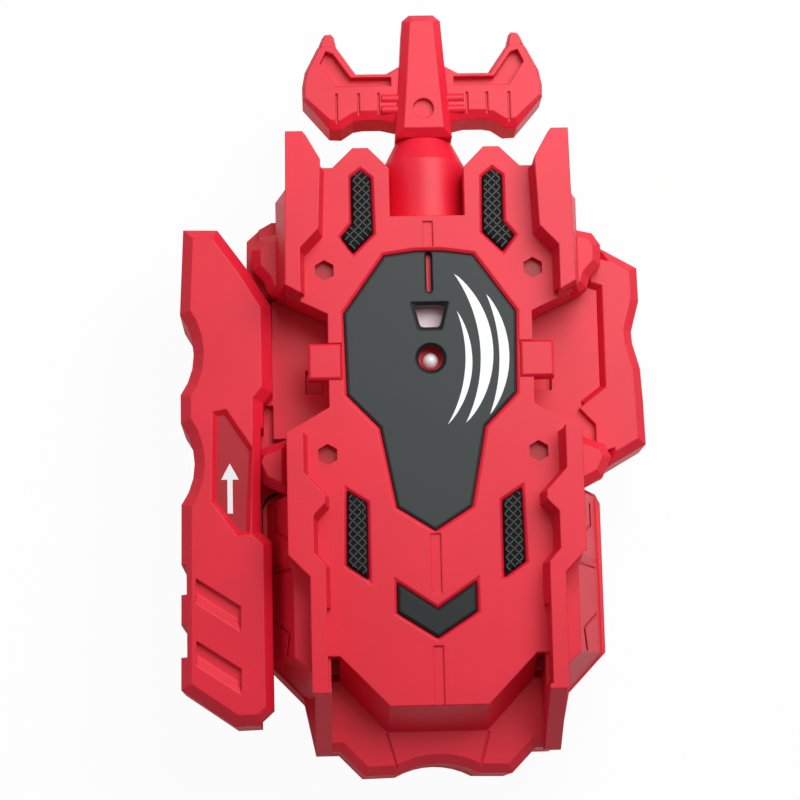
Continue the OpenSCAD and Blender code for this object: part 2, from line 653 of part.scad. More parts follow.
module lower_shell() color(red) {
    ring_r = bay_r + wall;
    difference() {
        prism(with_arc(base_shares), table_z, part_z);
        translate([0, 0, table_z - over]) cylinder(r = bay_r, h = floor_z - table_z + over);
        difference() {
            prism(inset(with_arc(base_cavity_shares), wall), table_z + wall, part_z + over);
            translate([0, 0, table_z]) cylinder(r = ring_r, h = floor_top - table_z);
            // cradle of the nozzle
            translate([-channel_half_w - wall, cavity_front_y, table_z])
                cube([(channel_half_w + wall) * 2, front_l, part_z + over - table_z]);
            // columns and bosses
            at_screws(bay_screw_shares) translate([0, 0, floor_z])
                cylinder(r = column_r, h = part_z - floor_z);
            at_screws(rear_screw_shares) translate([0, 0, table_z])
                cylinder(r = column_r, h = part_z - table_z);
            translate([0, spool_y, floor_z]) cylinder(r = axle_r + wall, h = low_z - touch - floor_z);
            translate([0, 0, floor_z]) cylinder(r = journal_r + wall, h = low_z - axial_play - floor_z);
            translate([idler_x, idler_y, floor_z])
                cylinder(r = eject_r + boss_wall, h = low_z - touch - floor_z);
            translate([0, fork_y, floor_z]) cylinder(r = guide_pin_r + boss_wall, h = floor_t + wall / 2);
        }
        nozzle_channel(nozzle_r, channel_half_w);
        translate([0, 0, floor_z - over]) cylinder(r = journal_r + run_fit, h = low_z);
        translate([0, spool_y, floor_top - touch]) cylinder(r = axle_r, h = low_z);
        translate([idler_x, idler_y, floor_top - touch]) cylinder(r = eject_r, h = low_z);
        translate([0, fork_y, floor_top - touch]) cylinder(r = guide_pin_r, h = low_z);
        at_screws() {
            translate([0, 0, floor_z]) cylinder(r = screw_r, h = part_z - floor_z + over);
            translate([0, 0, table_z - over])
                cylinder(r = screw_head_r + run_fit, h = floor_z + screw_head_h - table_z + over);
        }
    }
}

module centre_panel() color(black) difference() {
    bevelled(inset(whole(panel_shares), groove), panel_z, top_z, bevel / 2);
    translate([0, 0, panel_z - over]) cylinder(r = window_r, h = panel_t + over * 2);
    keystone(0, panel_z - over, top_z + over);
    translate([0, 0, panel_z - over]) linear_extrude(panel_t + over * 2) {
        for (s = slot_y_shares) translate([0, front_l * s]) circle(d = slot_w);
        translate([-slot_w / 2, front_l * slot_y_shares[1]])
            square([slot_w, front_l * (slot_y_shares[0] - slot_y_shares[1])]);
    }
}

module pad(pts) color(black) bevelled(inset(pts, groove), panel_z, top_z + pad_rise, bevel / 2);
module front_right_pad() pad(placed(front_pad_shares));
module front_left_pad() pad(flipped(placed(front_pad_shares)));
module rear_right_pad() pad(placed(rear_pad_shares));
module rear_left_pad() pad(flipped(placed(rear_pad_shares)));
module chevron_inlay() pad(whole(chevron_shares));

// Tab that holds the side frame down, clipped into the wall beside the panel
tab_t = 3;
tab_rise = 0.3;
tab_fit = 0.1;
module guide_tab_block(grow) {
    x0 = half_w * tab_x_shares[0] - grow;
    x1 = half_w * tab_x_shares[1] + grow;
    y0 = rear_l * tab_y_shares[1] - grow;
    y1 = front_l * tab_y_shares[0] + grow;
    bevelled([[x0, y1], [x1, y1], [x1, y0], [x0, y0]], top_z - tab_t - grow, top_z + tab_rise, bevel / 2);
}
module right_guide_tab() color(red) guide_tab_block(0);
module left_guide_tab() color(red) mirror([1, 0, 0]) guide_tab_block(0);

module string_nozzle() color(red) translate([0, 0, string_z]) rotate([-quarter_turn, 0, 0])
    rotate_extrude() polygon([
        [nozzle_bore_r, nozzle_back_y], [nozzle_r, nozzle_back_y], [nozzle_r, nozzle_front_y - cone_l],
        [nose_r, nozzle_front_y], [dock_r, nozzle_front_y], [dock_r, nozzle_front_y + dock_l],
        [nozzle_bore_r, nozzle_front_y + dock_l]]);

module case_screws() color(steel) at_screws() {
    translate([0, 0, floor_z]) cylinder(r = screw_head_r, h = screw_head_h);
    translate([0, 0, floor_z + screw_head_h - touch])
        cylinder(r = screw_r, h = roof_z - floor_z - screw_head_h - over);
}

module spool_axle() color(steel) translate([0, spool_y, floor_top - touch])
    cylinder(r = axle_r, h = roof_z - floor_top + touch);
module idler_pin() color(steel) translate([idler_x, idler_y, floor_top - touch])
    cylinder(r = eject_r, h = low_top - floor_top);
module fork_guide_pin() color(steel) translate([0, fork_y, floor_top - touch])
    cylinder(r = guide_pin_r, h = roof_z - floor_top + touch);

// Flat spiral between the axle and the drum's wall
spiral_steps = 14;
function spiral(r0, r1, count) = [for (i = [0 : count]) let (a = full_turn * i / spiral_steps)
    (r0 + (r1 - r0) * i / count) * [cos(a), sin(a)]];
module recoil_spring() color(steel) {
    r0 = axle_r + run_fit;
    r1 = drum_r - drum_wall - strip_t - axial_play;
    count = spring_turns * spiral_steps;
    inner = spiral(r0, r1, count);
    outer = spiral(r0 + strip_t, r1 + strip_t, count);
    translate([0, spool_y, low_top + axial_play]) linear_extrude(high_z - low_top - axial_play * 2)
        polygon(concat(inner, [for (i = [count : -1 : 0]) outer[i]]));
}

// Pull string: from the drum, round the guide post, through the nozzle to the knot
string_y0 = spool_y + sqrt(pow(string_reach_r, 2) - pow(drum_r, 2)) + string_d / 2;
guide_wrap = 48;
entry_share = 0.083;
string_sides = 8;
wrap_steps = 5;
string_route = concat(
    [[string_x, string_y0], [string_x, (string_y0 + guide_y) / 2]],
    [for (i = [0 : wrap_steps]) let (a = guide_wrap * i / wrap_steps, r = guide_r + string_d / 2 + touch)
        [guide_x + r * cos(a), guide_y + r * sin(a)]],
    [[string_x * entry_share, nozzle_back_y - string_d], [0, nozzle_back_y + string_d * 2],
        [0, nozzle_front_y], [0, knot_y - knot_r]]);
route_end = len(string_route) - 1;
function heading(i) = string_route[min(i + 1, route_end)] - string_route[max(i - 1, 0)];
function across(i) = let (d = heading(i) / norm(heading(i))) [d[1], -d[0]];
module pull_string() color("white") {
    points = [for (i = [0 : route_end]) for (k = [0 : string_sides - 1])
        let (a = full_turn * k / string_sides, p = string_route[i] + across(i) * cos(a) * string_d / 2)
        [p[0], p[1], string_z + sin(a) * string_d / 2]];
    tube(points, string_sides);
}

// Side frame
opening_r = disc_r + frame_gap;
grip_tongue_l = 4;
grip_tongue_half_w = 6;
hole_x_shares = [0.612, 0.715];
hole_y_share = -0.058;
plate_x = half_w * plate_front_shares[0][0];
plate_outline = concat(placed(plate_front_shares),
    [[half_w * plate_front_shares[5][0], plate_rear_y], [plate_x, plate_rear_y]]);
module slide_frame() color(red) {
    difference() {
        union() {
            prism(plate_outline, plate_z, plate_top);
            translate([plate_x - grip_tongue_l, -grip_tongue_half_w, plate_z])
                cube([grip_tongue_l + over, grip_tongue_half_w * 2, plate_t]);
            prism(placed(wing_step_shares), plate_z, wing_top);
            bevelled(placed(wing_shares), grip_z, wing_top, side_bevel);
            // wall that holds the cam slot, under the plate's front bar
            cam_wall();
        }
        // room for the shaft, the clutch disc and the fork over the whole travel
        translate([0, 0, plate_z - over]) linear_extrude(plate_t + over * 2) {
            for (x = [0, frame_travel]) translate([x, 0]) circle(opening_r);
            translate([0, -opening_r]) square([frame_travel, opening_r * 2]);
            translate([-fork_half_w - axial_play, 0])
                square([frame_travel + (fork_half_w + axial_play) * 2, fork_y + fork_depth + axial_play]);
            translate([-jaw_half_w - axial_play, 0])
                square([frame_travel + (jaw_half_w + axial_play) * 2, fork_y + axial_play]);
        }
        both_sides() translate([half_w * hole_x_shares[0], rear_l * hole_y_share, plate_z - over])
            cube([half_w * (hole_x_shares[1] - hole_x_shares[0]), -rear_l * hole_y_share,
                plate_t + over * 2]);
    }
}

cam_margin = 1.6;
cam_end = 2.4;
module cam_wall() {
    drop = clutch_travel;
    translate([0, cam_wall_y + cam_wall_t, 0]) rotate([quarter_turn, 0, 0]) difference() {
        linear_extrude(cam_wall_t) polygon([[-cam_end, plate_z + touch],
            [frame_travel + cam_end, plate_z + touch],
            [frame_travel + cam_end, follower_z - drop - cam_margin],
            [frame_travel, follower_z - drop - cam_margin], [-cam_end, follower_z - cam_margin]]);
        translate([0, 0, -over]) linear_extrude(cam_wall_t + over * 2) {
            slot_r = follower_r + touch;
            a = atan(cam_slope_share);
            translate([0, follower_z]) circle(slot_r);
            translate([frame_travel, follower_z - drop]) circle(slot_r);
            translate([0, follower_z]) rotate(-a) translate([0, -slot_r])
                square([frame_travel / cos(a), slot_r * 2]);
        }
    }
}

label_slope = 0.8;
slash_slope = 1.8;
grip_step_h = 0.4;
module left_grip() color(red) {
    edge_x = half_w * grip_edge_share;
    scallops = [for (s = scallop_y_shares)
        scallop(at([0, s[0]])[1], at([0, s[1]])[1], edge_x, scallop_depth)];
    outline = concat(placed(grip_shares), scallops[0], scallops[1]);
    label = placed(label_recess_shares);
    slash = placed(slash_recess_shares);
    slash_floor = [slash[0], slash[1], slash[2] + [0, slash_slope], slash[3] + [0, slash_slope]];
    difference() {
        bevelled(outline, grip_z, grip_top, grip_bevel);
        for (s = notch_y_shares)
            translate([edge_x - half_w * notch_depth_share, rear_l * s[0], grip_z - over])
                cube([half_w * notch_depth_share * 2, rear_l * (s[1] - s[0]), grip_t + over * 2]);
        loft([inset(label, label_slope), label, label],
            [grip_top - recess_depth, grip_top, grip_top + over]);
        for (i = [0, 1]) translate([0, -rear_l * slash_pitch_share * i, 0])
            loft([slash_floor, slash, slash], [grip_top - recess_depth, grip_top, grip_top + over]);
        prism(placed(grip_step_shares), grip_z - over, ear_top + grip_step_h);
        translate([plate_x - grip_tongue_l, -grip_tongue_half_w, plate_z])
            cube([grip_tongue_l + over, grip_tongue_half_w * 2, plate_t]);
    }
}

// Pull handle
function handle_half(shares) = [for (s = shares) handle_at(s)];
function both_halves(p) = concat(p, mirrored(p));
module arms(z0, z1) {
    outline = both_halves(handle_half(arm_shares));
    low = handle_y + handle_l * finger_y_share;
    inner = [for (p = inset(outline, handle_bevel)) p[1] < low ? p + [0, finger_slope] : p];
    loft([inner, outline, outline, inner], [z0, z0 + finger_slope, z1 - finger_slope, z1]);
}
module post(z0, z1) {
    outline = both_halves(handle_half(post_shares));
    inner = inset(outline, post_bevel);
    loft([inner, outline, outline, inner], [z0, z0 + post_bevel, z1 - post_bevel, z1]);
}

finger_y_share = 0.2;
rib_w = 0.4;
bump_r = 0.8;
module pull_handle() color(red) {
    z0 = string_z - handle_t / 2;
    z1 = string_z + handle_t / 2;
    arm_top = z1 - post_rise;
    bump_x = handle_half_w * bump_x_shares[0];
    bump_l = handle_half_w * (bump_x_shares[1] - bump_x_shares[0]);
    rib_y = handle_y + handle_l * rib_y_shares[0];
    rib_l = handle_l * (rib_y_shares[1] - rib_y_shares[0]);
    difference() {
        union() {
            post(z0, z1);
            arms(z0 + post_rise, arm_top);
            // two bumps on each arm beside the post
            both_sides() for (y = bump_y_shares)
                translate([bump_x, handle_y + handle_l * y, arm_top - bump_r / 2])
                    rotate([0, quarter_turn, 0]) cylinder(r = bump_r, h = bump_l, $fn = 16);
        }
        translate([0, handle_y - over, string_z]) rotate([-quarter_turn, 0, 0])
            cylinder(r = dock_r + dock_fit, h = dock_l + over + dock_fit);
        translate([0, handle_y, string_z]) rotate([-quarter_turn, 0, 0])
            cylinder(r = string_d, h = knot_depth);
        // knot's pocket, open below, and the dimple over it
        translate([0, knot_y, z0 - over])
            cylinder(r = knot_pocket_r, h = string_z + knot_pocket_r - z0 + over);
        translate([0, knot_y, z1 - dimple_depth]) cylinder(r = knot_pocket_r, h = dimple_depth + over);
        both_sides() {
            prism(handle_half(handle_slot_shares), arm_top - handle_groove, z1);
            for (x = rib_x_shares)
                translate([handle_half_w * x - rib_w / 2, rib_y, arm_top - rib_w])
                    cube([rib_w, rib_l, rib_w + over]);
        }
    }
}

module string_knot() color("white") translate([0, knot_y, string_z]) sphere(r = knot_r);

// Spool
flange_inset = 0.4;
spool_flange_r = tooth_size * spool_teeth / 2 - flange_inset;
module string_spool() color(ivory) translate([0, spool_y, 0]) difference() {
    union() {
        gear(spool_teeth, spool_phase, low_z, low_plate_z);
        translate([0, 0, low_plate_z]) cylinder(r = spool_flange_r, h = low_plate_t);
        translate([0, 0, low_top]) cylinder(r = drum_r, h = high_z - low_top);
    }
    translate([0, 0, low_z - over]) cylinder(r = axle_r + run_fit, h = high_z);
    translate([0, 0, low_top]) cylinder(r = drum_r - drum_wall, h = high_z);
}

module drive_gear() color(ivory) translate([0, spool_y, 0]) difference() {
    gear(drive_teeth, drive_phase, high_z, high_top - touch);
    translate([0, 0, high_z - over]) cylinder(r = axle_r + run_fit, h = high_top);
}

module string_winding() color("white") translate([0, spool_y, low_top + touch]) difference() {
    cylinder(r = string_reach_r, h = high_z - low_top - touch * 2);
    translate([0, 0, -over]) cylinder(r = drum_r, h = high_z);
}

// Gears on the launch shaft
shroud_lip = 1.6;
module upper_gear() color(ivory) difference() {
    union() {
        gear(upper_teeth, upper_phase, high_z, high_top);
        translate([0, 0, high_top]) cylinder(r = tooth_size * upper_teeth / 2 + shroud_lip, h = shroud_t);
    }
    translate([0, 0, high_z - over]) cylinder(r = upper_journal_r + run_fit, h = high_top);
    dog_set(touch, dog_play_angle, high_z - over, high_z + dog_h);
}

module lower_gear() color(ivory) difference() {
    union() {
        gear(lower_teeth, lower_phase, low_z, low_plate_z);
        translate([0, 0, low_plate_z])
            cylinder(r = tooth_size * (lower_teeth / 2 + addendum_share) + axial_play, h = low_plate_t);
    }
    translate([0, 0, low_z - over]) cylinder(r = journal_r + run_fit, h = low_top);
    dog_set(touch, dog_play_angle, low_top - dog_h, low_top + over);
}

module idler_gear() color(ivory) translate([idler_x, idler_y, 0]) difference() {
    gear(idler_teeth, idler_phase, low_z, low_plate_z - touch);
    translate([0, 0, low_z - over]) cylinder(r = eject_r + run_fit, h = low_top);
}

// Clutch
rim_t = 0.8;
rim_reach = 1.2;
jaw_grip = 1;
rim_z = disc_z + (disc_t - rim_t) / 2;
module clutch_disc() color("gold") difference() {
    union() {
        translate([0, 0, disc_z]) cylinder(r = disc_r - rim_reach, h = disc_t);
        translate([0, 0, rim_z]) cylinder(r = disc_r, h = rim_t);
        dog_set(0, 0, disc_z - dog_h + touch, disc_z + disc_t + dog_h - touch);
    }
    translate([0, 0, disc_z - dog_h - over])
        cylinder(r = shaft_af / sqrt(3) + touch, h = disc_t + dog_h * 2 + over * 2, $fn = 6);
}

module shift_fork() color(black) {
    jaw_in = disc_r - jaw_grip;
    jaw_top = disc_z + disc_t - touch;
    jaw_z = disc_z - touch;
    difference() {
        union() {
            intersection() {
                translate([0, 0, jaw_z]) cylinder(r = fork_y, h = jaw_top - jaw_z);
                translate([-jaw_half_w, 0, jaw_z]) cube([jaw_half_w * 2, fork_y, jaw_top - jaw_z]);
            }
            translate([-fork_half_w, fork_y - fork_depth, follower_z - follower_r - touch])
                cube([fork_half_w * 2, fork_depth * 2, jaw_top - follower_z + follower_r + touch]);
            translate([0, fork_y, follower_z]) rotate([-quarter_turn, 0, 0])
                cylinder(r = follower_r, h = cam_wall_y + cam_wall_t - fork_y);
        }
        translate([0, 0, jaw_z - over]) cylinder(r = jaw_in, h = jaw_top);
        translate([0, 0, rim_z - touch]) cylinder(r = disc_r + touch, h = rim_t + touch * 2);
        translate([0, fork_y, 0]) cylinder(r = guide_pin_r + run_fit, h = top_z);
    }
}

// Launch chuck
foot_lip = 1;
foot_r = journal_r + foot_lip;
foot_t = 1.5;
spring_bore_r = 2.6;
pin_head_z = 1.5;
prong_inset = 0.6;
prong_t = 2;
prong_hook = 1.2;
prong_z = 0.8;
hook_t = 1.2;
prong_out_r = chuck_r - prong_inset;
prong_in_r = prong_out_r - prong_t;
module launch_chuck() color(ivory) {
    rotate_extrude() polygon([
        [eject_r + run_fit, 0], [spigot_r, 0], [spigot_r, spigot_l],
        [chuck_r, spigot_l], [chuck_r, spigot_l + chuck_t], [foot_r + wall, spigot_l + chuck_t],
        [foot_r + wall, chuck_top], [foot_r, chuck_top], [foot_r, chuck_top - foot_t],
        [spring_bore_r, chuck_top - foot_t], [spring_bore_r, pin_head_z],
        [eject_r + run_fit, pin_head_z]]);
    for (i = [0 : dogs - 1]) rotate([0, 0, i * full_turn / dogs + quarter_turn]) {
        sector(prong_in_r, prong_out_r, prong_angle, prong_z, spigot_l + touch);
        sector(prong_in_r - prong_hook, prong_out_r, prong_angle / 2, prong_z, prong_z + hook_t);
    }
}

shaft_rise = 0.6;
shaft_top = shroud_top + shaft_rise;
module hex_shaft() color(red) difference() {
    union() {
        translate([0, 0, chuck_top - foot_t]) cylinder(r = foot_r, h = foot_t);
        translate([0, 0, chuck_top - touch]) cylinder(r = journal_r, h = low_top - chuck_top + touch);
        translate([0, 0, low_top - touch])
            cylinder(r = shaft_af / sqrt(3), h = high_z - low_top + touch, $fn = 6);
        translate([0, 0, high_z - touch]) cylinder(r = upper_journal_r, h = shaft_top - high_z + touch);
    }
    translate([0, 0, chuck_top + axial_play]) cylinder(r = steel_r, h = top_z);
}

module centre_axle() color(steel) {
    translate([0, 0, chuck_top + axial_play]) cylinder(r = steel_r, h = shaft_top - chuck_top - axial_play);
    translate([0, 0, shaft_top]) intersection() {
        sphere(r = steel_r);
        translate([-steel_r, -steel_r, 0]) cube(steel_r * 2);
    }
}

pin_head_gap = 0.3;
pin_head_r = spring_bore_r - pin_head_gap;
pin_head_t = 1.2;
module ejector_pin() color(steel) {
    translate([0, 0, -eject_travel]) cylinder(r = eject_r, h = pin_head_z + eject_travel + touch);
    translate([0, 0, pin_head_z + touch]) cylinder(r = pin_head_r, h = pin_head_t);
}

// Coil spring above the pin's head
coil_wire_r = 0.25;
coil_gap = 0.4;
coil_turns = 3;
coil_steps = 10;
coil_sides = 5;
module ejector_spring() color(steel) {
    z0 = pin_head_z + touch + pin_head_t + coil_wire_r + touch;
    z1 = chuck_top - foot_t - coil_wire_r - touch;
    r = spring_bore_r - coil_wire_r - coil_gap;
    n = coil_turns * coil_steps;
    m = coil_sides;
    points = [for (i = [0 : n]) for (k = [0 : m - 1])
        let (a = full_turn * i / coil_steps, b = full_turn * k / m, q = r + coil_wire_r * cos(b))
        [q * cos(a), q * sin(a), z0 + (z1 - z0) * i / n + coil_wire_r * sin(b)]];
    tube(points, m);
}

upper_shell();
lower_shell();
centre_panel();
front_left_pad();
front_right_pad();
rear_left_pad();
rear_right_pad();
chevron_inlay();
left_guide_tab();
right_guide_tab();
string_nozzle();
case_screws();
spool_axle();
idler_pin();
fork_guide_pin();
recoil_spring();
pull_string();
slide_frame();
left_grip();
pull_handle();
string_knot();
string_spool();
drive_gear();
string_winding();
upper_gear();
lower_gear();
idler_gear();
clutch_disc();
shift_fork();
launch_chuck();
hex_shaft();
centre_axle();
ejector_pin();
ejector_spring();
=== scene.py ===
"""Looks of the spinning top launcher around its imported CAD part: materials, prints, studio and camera."""
import json
import math

import bmesh
import bpy
from mathutils import Matrix, Vector


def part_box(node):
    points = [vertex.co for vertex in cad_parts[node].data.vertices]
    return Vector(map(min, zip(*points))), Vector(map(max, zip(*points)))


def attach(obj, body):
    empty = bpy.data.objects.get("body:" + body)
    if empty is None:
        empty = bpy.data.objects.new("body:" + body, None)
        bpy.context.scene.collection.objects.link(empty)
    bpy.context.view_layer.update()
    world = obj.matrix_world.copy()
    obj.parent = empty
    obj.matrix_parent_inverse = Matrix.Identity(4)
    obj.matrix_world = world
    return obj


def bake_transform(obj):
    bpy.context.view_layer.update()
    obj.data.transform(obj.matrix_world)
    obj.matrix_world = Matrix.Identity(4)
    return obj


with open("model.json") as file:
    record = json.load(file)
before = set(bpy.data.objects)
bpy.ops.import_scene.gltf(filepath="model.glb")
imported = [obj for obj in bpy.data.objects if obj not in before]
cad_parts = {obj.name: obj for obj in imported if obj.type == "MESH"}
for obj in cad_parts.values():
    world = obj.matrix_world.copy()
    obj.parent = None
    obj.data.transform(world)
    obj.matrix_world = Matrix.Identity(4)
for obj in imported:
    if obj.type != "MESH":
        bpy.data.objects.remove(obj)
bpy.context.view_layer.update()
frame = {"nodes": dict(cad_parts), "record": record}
NODES = frame["nodes"]
MM = 0.001

# Heights in millimetres that pieces sit on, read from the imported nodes
CHEVRON_RISE = 0.4
ROOF_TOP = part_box("chevron_inlay")[1].z / MM - CHEVRON_RISE
PANEL_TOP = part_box("centre_panel")[1].z / MM
GEAR_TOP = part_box("upper_gear")[1].z / MM
GRIP_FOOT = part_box("left_grip")[0].z / MM
GRIP_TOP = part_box("left_grip")[1].z / MM
TABLE_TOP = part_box("lower_shell")[0].z / MM

# Heights in millimetres of the cross plate, the wing and the fins, as in the CAD part
PLATE_FOOT = 18.3
PLATE_TOP = 19.7
WING_TOP = 21.0
FIN_TOP = 35.7

# Small step in millimetres that keeps a cover's face out of the plane of the face beside it
PROUD = 0.02

# Colours as linear values
RED = (0.74, 0.0095, 0.033, 1)
# Darker red that paints the shade on the floors of the screw sockets and of the label recess
PAINTED_SHADE_RED = (0.42, 0.006, 0.018, 1)
PANEL_GREY = (0.027, 0.035, 0.034, 1)
INLAY_GREY = (0.014, 0.018, 0.018, 1)
# Lighter grey of the knurl ribs, painted highlight on their crests
RIB_HIGHLIGHT_GREY = (0.060, 0.068, 0.066, 1)
PAD_BLACK = (0.006, 0.007, 0.007, 1)
EDGE_BLACK = (0.004, 0.004, 0.005, 1)
PALE_PINK = (0.86, 0.72, 0.76, 1)
PEARL = (0.86, 0.80, 0.80, 1)
WHITE_INK = (0.86, 0.88, 0.89, 1)
STRING_WHITE = (0.82, 0.82, 0.78, 1)
GEAR_IVORY = (0.80, 0.75, 0.62, 1)
CHUCK_IVORY = (0.80, 0.77, 0.70, 1)
STEEL = (0.62, 0.62, 0.62, 1)
SPRING_STEEL = (0.33, 0.35, 0.38, 1)
BRASS = (0.72, 0.50, 0.16, 1)
FLOOR_GREY = (0.85, 0.85, 0.85, 1)
WHITE = (1, 1, 1, 1)

# Textures of the materials: noise scales, the noise values that a texture spans, and strengths
CLOUD_SCALE = 60.0
CLOUD_DETAIL = 3.0
CLOUD_SPAN = (0.35, 0.65)
SCUFF_SCALE = 110.0
SCUFF_DETAIL = 4.0
SCUFF_SPAN = (0.66, 0.78)
SCUFF_SHADE = 0.45
SCUFF_TURN = 0.7
SCUFF_STRETCH = 14.0
GRAIN_DETAIL = 2.0
GRAIN_DEPTH = 0.05
COAT_ROUGH = 0.25
BEVEL_SAMPLES = 6
METAL_SCALE = 900.0
METAL_DETAIL = 2.0
METAL_SPREAD = 0.2


def set_inputs(shader, **inputs):
    """Sets inputs of a shader node, with underscores for the spaces in their names."""
    for key, value in inputs.items():
        shader.inputs[key.replace("_", " ")].default_value = value


def node(tree, kind, **inputs):
    """New shader node with some of its inputs set."""
    shader = tree.nodes.new(kind)
    set_inputs(shader, **inputs)
    return shader


def blank(name):
    """New node material, with its tree and its main shader."""
    material = bpy.data.materials.new(name)
    material.use_nodes = True
    return material, material.node_tree, material.node_tree.nodes["Principled BSDF"]


def tinted(colour, share):
    """Colour times a share, fully opaque."""
    return [min(1, c * share) for c in colour[:3]] + [1]


def mottled(tree, coords, colour, mottle):
    """Colour that varies a little in soft clouds."""
    cloud = node(tree, "ShaderNodeTexNoise", Scale=CLOUD_SCALE, Detail=CLOUD_DETAIL)
    tree.links.new(coords, cloud.inputs["Vector"])
    tint = tree.nodes.new("ShaderNodeValToRGB")
    for end, place, share in zip(tint.color_ramp.elements, CLOUD_SPAN, (1 - mottle, 1 + mottle)):
        end.position = place
        end.color = tinted(colour, share)
    tree.links.new(cloud.outputs["Fac"], tint.inputs["Fac"])
    return tint.outputs["Color"]


def scuffed(tree, coords, surface, colour, amount):
    """Surface colour with thin darker marks, rubbed in one direction."""
    stretch = node(tree, "ShaderNodeMapping", Rotation=(0, 0, SCUFF_TURN), Scale=(1, SCUFF_STRETCH, 1))
    tree.links.new(coords, stretch.inputs["Vector"])
    rubbed = node(tree, "ShaderNodeTexNoise", Scale=SCUFF_SCALE, Detail=SCUFF_DETAIL)
    tree.links.new(stretch.outputs["Vector"], rubbed.inputs["Vector"])
    low, high = SCUFF_SPAN
    marks = node(tree, "ShaderNodeMapRange", From_Min=low, From_Max=high, To_Max=amount)
    tree.links.new(rubbed.outputs["Fac"], marks.inputs["Value"])
    worn = tree.nodes.new("ShaderNodeMix")
    worn.data_type = "RGBA"
    set_inputs(worn, B=tinted(colour, SCUFF_SHADE))
    tree.links.new(marks.outputs["Result"], worn.inputs["Factor"])
    tree.links.new(surface, worn.inputs["A"])
    return worn.outputs["Result"]


def grained(tree, coords, normal, strength, scale):
    """Normal with the fine grain of a moulded surface."""
    fine = node(tree, "ShaderNodeTexNoise", Scale=scale, Detail=GRAIN_DETAIL)
    tree.links.new(coords, fine.inputs["Vector"])
    bump = node(tree, "ShaderNodeBump", Strength=strength, Distance=GRAIN_DEPTH * MM)
    tree.links.new(fine.outputs["Fac"], bump.inputs["Height"])
    tree.links.new(normal, bump.inputs["Normal"])
    return bump.outputs["Normal"]


def plastic(name, colour, rough, grain=0.0, grain_scale=4000.0, edge=0.25, coat=0.0, mottle=0.04,
            shine=0.5, scuffs=0.0):
    """Moulded plastic: mottling, rubbed marks, a fine grain, and edges rounded by edge millimetres."""
    material, tree, bsdf = blank(name)
    set_inputs(bsdf, Roughness=rough, Specular_IOR_Level=shine)
    set_inputs(bsdf, Coat_Weight=coat, Coat_Roughness=COAT_ROUGH)
    coords = tree.nodes.new("ShaderNodeTexCoord").outputs["Object"]
    surface = mottled(tree, coords, colour, mottle)
    if scuffs:
        surface = scuffed(tree, coords, surface, colour, scuffs)
    tree.links.new(surface, bsdf.inputs["Base Color"])
    soft = node(tree, "ShaderNodeBevel", Radius=edge * MM)
    soft.samples = BEVEL_SAMPLES
    normal = soft.outputs["Normal"]
    if grain:
        normal = grained(tree, coords, normal, grain, grain_scale)
    tree.links.new(normal, bsdf.inputs["Normal"])
    return material


def metal(name, colour, rough):
    """Bare metal whose roughness varies in small patches."""
    material, tree, bsdf = blank(name)
    set_inputs(bsdf, Base_Color=colour, Metallic=1.0)
    coords = tree.nodes.new("ShaderNodeTexCoord").outputs["Object"]
    patches = node(tree, "ShaderNodeTexNoise", Scale=METAL_SCALE, Detail=METAL_DETAIL)
    tree.links.new(coords, patches.inputs["Vector"])
    low, high = rough * (1 - METAL_SPREAD), rough * (1 + METAL_SPREAD)
    span = node(tree, "ShaderNodeMapRange", To_Min=low, To_Max=high)
    tree.links.new(patches.outputs["Fac"], span.inputs["Value"])
    tree.links.new(span.outputs["Result"], bsdf.inputs["Roughness"])
    return material


# One material per slot of the record, and more for small pieces. The covers that lie flush on the
# shells have nearly sharp edges, so that their outlines don't show.
red = plastic("red_case", RED, 0.45, grain=0.12, edge=0.30, shine=0.42, scuffs=0.15)
red_flat = plastic("red_flat", RED, 0.45, grain=0.12, edge=0.01, shine=0.42)
# Darker red material for painted shade on the floors of deep recesses
painted_shade_red = plastic("painted_shade_red", PAINTED_SHADE_RED, 0.4, edge=0.05, shine=0.4)
ink = plastic("white_ink", WHITE_INK, 0.35, edge=0.05, mottle=0.03)
rib_highlight_grey = plastic("rib_highlight_grey", RIB_HIGHLIGHT_GREY, 0.45, edge=0.08)
black_edge = plastic("black_edge", EDGE_BLACK, 0.5, edge=0.08, shine=0.25)
MATERIALS = {
    "red_case": red,
    "dark_panel": plastic("dark_panel", PANEL_GREY, 0.55, grain=0.15, edge=0.2, shine=0.4, scuffs=0.3),
    "black_pad": plastic("black_pad", PAD_BLACK, 0.75, grain=0.2, edge=0.15, shine=0.15),
    "fork_black": plastic("fork_black", PAD_BLACK, 0.45),
    "steel": metal("steel", STEEL, 0.28),
    "spring_steel": metal("spring_steel", SPRING_STEEL, 0.32),
    "string": plastic("string", STRING_WHITE, 0.8, grain=0.5, grain_scale=2500.0),
    "gear_ivory": plastic("gear_ivory", GEAR_IVORY, 0.45),
    "clutch_brass": metal("clutch_brass", BRASS, 0.3),
    "chuck_ivory": plastic("chuck_ivory", CHUCK_IVORY, 0.42),
    "pearl": plastic("pearl", PEARL, 0.22, coat=0.6),
}
inlay = plastic("inlay", INLAY_GREY, 0.5, grain=0.15, edge=0.2, shine=0.3)
pale_gear = plastic("pale_gear", PALE_PINK, 0.4)
OWN = {"chevron_inlay": inlay, "centre_axle": MATERIALS["pearl"], "upper_gear": pale_gear}

SLOT_OF = {s["node"]: s["material_slot"] for s in frame["record"]["subparts"]}
for name, obj in NODES.items():
    obj.data.materials.clear()
    obj.data.materials.append(OWN.get(name) or MATERIALS[SLOT_OF[name]])


# Outlines: lists of points in millimetres
def ring(radius, sides=48, centre=(0, 0), turn=0.0):
    """Regular outline whose first corner lies at the angle turn, by default a smooth circle."""
    angles = [turn + math.tau * k / sides for k in range(sides)]
    return [(centre[0] + radius * math.cos(a), centre[1] + radius * math.sin(a)) for a in angles]


def mirrored(points):
    """Outline or path on the other side of the launcher, run through in the opposite order."""
    return [(-x, y) for x, y in points][::-1]


